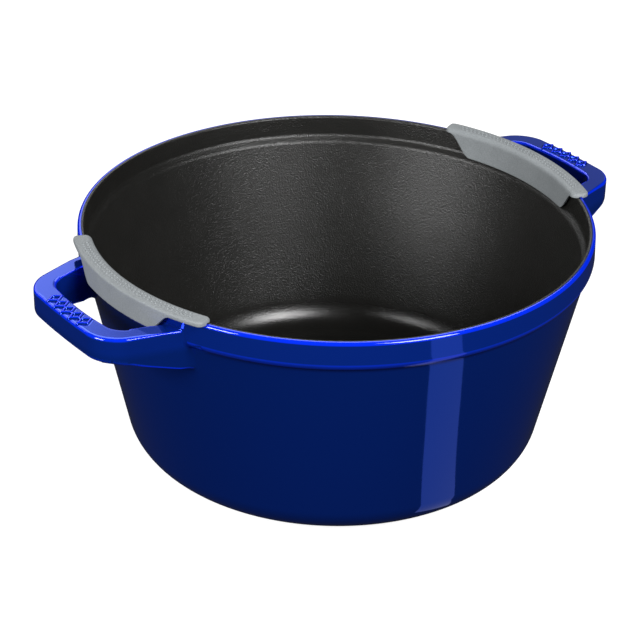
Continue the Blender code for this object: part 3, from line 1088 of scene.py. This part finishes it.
# %% [markdown]
# ## Silicone guards: beads
#
# Two rows of small beads stand on top, where the mould carries its relief. One bead is modelled
# and copied, the second row half a step on, so that the rows sit in each other's gaps.

# %% Beads on its top
BEAD = 0.0007
BEAD_FLATNESS = 0.8
BEAD_ROWS = (0.1297, 0.1319)
BEAD_STEP = 0.0026
BEAD_REACH = 0.0490
BEADS_TO_A_SIDE = 18
bpy.ops.object.select_all(action="DESELECT")
bpy.ops.mesh.primitive_uv_sphere_add(segments=12, ring_count=6, radius=BEAD)
bead = bpy.context.object
bead.name = bead.data.name = "bead"
bpy.ops.transform.resize(value=(1.0, 1.0, BEAD_FLATNESS))
bpy.ops.object.transform_apply(location=True, rotation=True, scale=True)
beads = []
for row, radius in enumerate(BEAD_ROWS):
    for index in range(-BEADS_TO_A_SIDE, BEADS_TO_A_SIDE + 1):
        along = BEAD_STEP * (index + 0.5 * row)
        if abs(along) > BEAD_REACH:
            continue
        angle = along / RIM_RADIUS
        place = Vector((radius * math.cos(angle), radius * math.sin(angle), GUARD_TOP))
        copy = bead.copy()
        copy.data = bead.data.copy()
        copy.data.transform(Matrix.Translation(place))
        bpy.context.scene.collection.objects.link(copy)
        beads.append(copy)
bpy.data.objects.remove(bead)
print("beads:", len(beads))
guard = join([guard] + beads)
shade(guard, silicone, smooth_angle=60)

# %% [markdown]
# ## Second guard
#
# The second guard is the same moulding, half a turn round the rim. It was pushed on by hand, so
# it sits 3 mm further round than the first.

# %% Second guard
LEFT_SHIFT = 0.0030 / RIM_RADIUS
left_guard = turned_copy(guard, "grey_guard_left", math.pi + LEFT_SHIFT)
shade(left_guard, silicone, smooth_angle=60)
belongs(guard, "right_guard", "rim_guard_right")
belongs(left_guard, "left_guard", "rim_guard_left")

# %% [markdown]
# ## Floor and world
#
# The pot stands on a plain white sweep that runs out to a white horizon. A floor under strong
# lights would need careful exposure to come out even, and would throw white light up the glossy
# wall. So this floor glows by itself, a white that only the camera sees, and leaves the wall to
# the cards below. The world does the same: white to the camera, and weak for everything else.

# %% Floor and world
FLOOR_DROP = 0.0002                  # keeps the floor off the foot ring's own surface
WORLD_LIGHT = 0.2
bpy.ops.object.select_all(action="DESELECT")
bpy.ops.mesh.primitive_plane_add(size=14.0, location=(0, 0, -FLOOR_DROP))
floor = bpy.context.object
floor.name = floor.data.name = "floor"
sweep = new_material("white_sweep", Base_Color=colour(0.35, 0.35, 0.35), Roughness=1.0,
                     Emission_Color=colour(1.0, 1.0, 1.0), Emission_Strength=0.86,
                     Specular_IOR_Level=0.0)[0]
sweep.cycles.emission_sampling = "NONE"
floor.data.materials.append(sweep)
floor.visible_glossy = False
floor.visible_diffuse = False
floor.visible_shadow = False

scene = bpy.context.scene
scene.view_settings.view_transform = "Standard"
scene.world = bpy.data.worlds.new("studio")
scene.world.use_nodes = True
scene.world.cycles_visibility.glossy = False
background = scene.world.node_tree.nodes["Background"]
background.inputs["Color"].default_value = colour(1.0, 1.0, 1.0)
ray = output_of(background).node("ShaderNodeLightPath")
seen = output_of(ray, "Is Camera Ray")
plug(background.inputs["Strength"], seen * (1 - WORLD_LIGHT) + WORLD_LIGHT)
print("floor and world ready")

# %% [markdown]
# ## Lights
#
# Three soft area lights do the work of softboxes. The front one lights the inside of the bowl
# and draws the line on the near rim, the one at the left lights the other half of the lining,
# and a wide weak one at the back right fills the tops. Each is placed by two angles round the
# pot, as a lamp stand is walked round a table, and its power follows from its size, so that a
# bigger light isn't a brighter one.


# %% Lights
LIGHT_AIM = Vector((0, 0, 0.09))


def softbox(name, azimuth, elevation, distance, width, height, radiance):
    """A rectangular light at two angles from the pot, facing it."""
    a, e = math.radians(azimuth), math.radians(elevation)
    away = Vector((math.sin(a) * math.cos(e), -math.cos(a) * math.cos(e), math.sin(e)))
    bpy.ops.object.light_add(type="AREA", location=LIGHT_AIM + away * distance)
    light = bpy.context.object
    light.name = light.data.name = name
    light.data.shape = "RECTANGLE"
    light.data.size = width
    light.data.size_y = height
    light.data.energy = radiance * math.pi * width * height
    light.rotation_mode = "QUATERNION"
    light.rotation_quaternion = (-away).to_track_quat("-Z", "Y")
    light.visible_camera = False
    print(name, round(light.data.energy, 2), "W")


softbox("front", 1, 36, 1.2, width=0.52, height=0.62, radiance=19.0)
softbox("front_left", -88, 22, 1.2, width=0.42, height=0.38, radiance=25.0)
softbox("back_fill", 143, 45, 1.3, width=0.9, height=0.5, radiance=3.0)

# %% [markdown]
# ## Reflection cards
#
# A gloss surface shows whatever stands round it. In a studio, white cards are held where the
# surface would mirror them, and here they are flat glowing outlines that only shiny surfaces
# see. The wall leans outwards, so it mirrors what lies low in front of it: a long narrow card
# gives the bright stripe down the wall, a second one the same stripe on the far side, and a wide
# dim one keeps the rest of the wall from going black.


# %% Reflection cards
def glow_card(name, corners, height, turn, brightness):
    """A flat outline that only shiny surfaces see. Returns its material, coordinates and shader."""
    card = draw_outline(name, [Vector((x, y, height)) for x, y in corners], [0] * len(corners))
    bpy.ops.object.mode_set(mode="OBJECT")
    card.rotation_euler = (0, 0, math.radians(turn))
    material, place, shader = new_material(name, Base_Color=colour(0, 0, 0), Specular_IOR_Level=0.0,
                                           Emission_Color=colour(1.0, 1.0, 1.0),
                                           Emission_Strength=brightness)
    material.cycles.emission_sampling = "NONE"
    card.data.materials.append(material)
    card.visible_camera = False
    card.visible_diffuse = False
    card.visible_shadow = False
    return material, place, shader


STRIPE = [(0.000, -0.112), (0.002, -0.20), (-0.012, -0.56), (0.109, -0.56), (0.060, -0.215),
          (0.046, -0.152), (0.037, -0.125), (0.037, -0.092)]
for index, turn in enumerate((0, 123)):
    glow_card(f"stripe_card_{index}", STRIPE, height=-0.06, turn=turn, brightness=0.41)
TABLE = [(-3, -3), (3, -3), (3, 3), (-3, 3)]
glow_card("table_card", TABLE, height=-0.08, turn=0, brightness=0.022)
print("cards under the pot: 3")

# %% [markdown]
# ## Card behind
#
# The level tops of the handles and of the rim mirror what stands high behind the pot. One even
# card would make both handles equally bright, so this one fades from white at the left to dim at
# the right, as a card does when it is lit from one side. It is the only card whose brightness
# changes over its surface.

# %% Card behind
BEHIND = [(-0.6, 0.9), (2.2, 0.9), (2.2, 2.2), (-0.6, 2.2)]
SLANT = 0.9
FADE = (0.55, 0.92)
DIM = 0.17
_, place, shader = glow_card("behind_card", BEHIND, height=0.95, turn=0, brightness=1.8)
slant = axis(place, "Y") - axis(place, "X") * SLANT
feed(shader, Emission_Color=ramp(slant, *FADE, DIM, 1.0))
print("card behind fades from", DIM, "to 1")
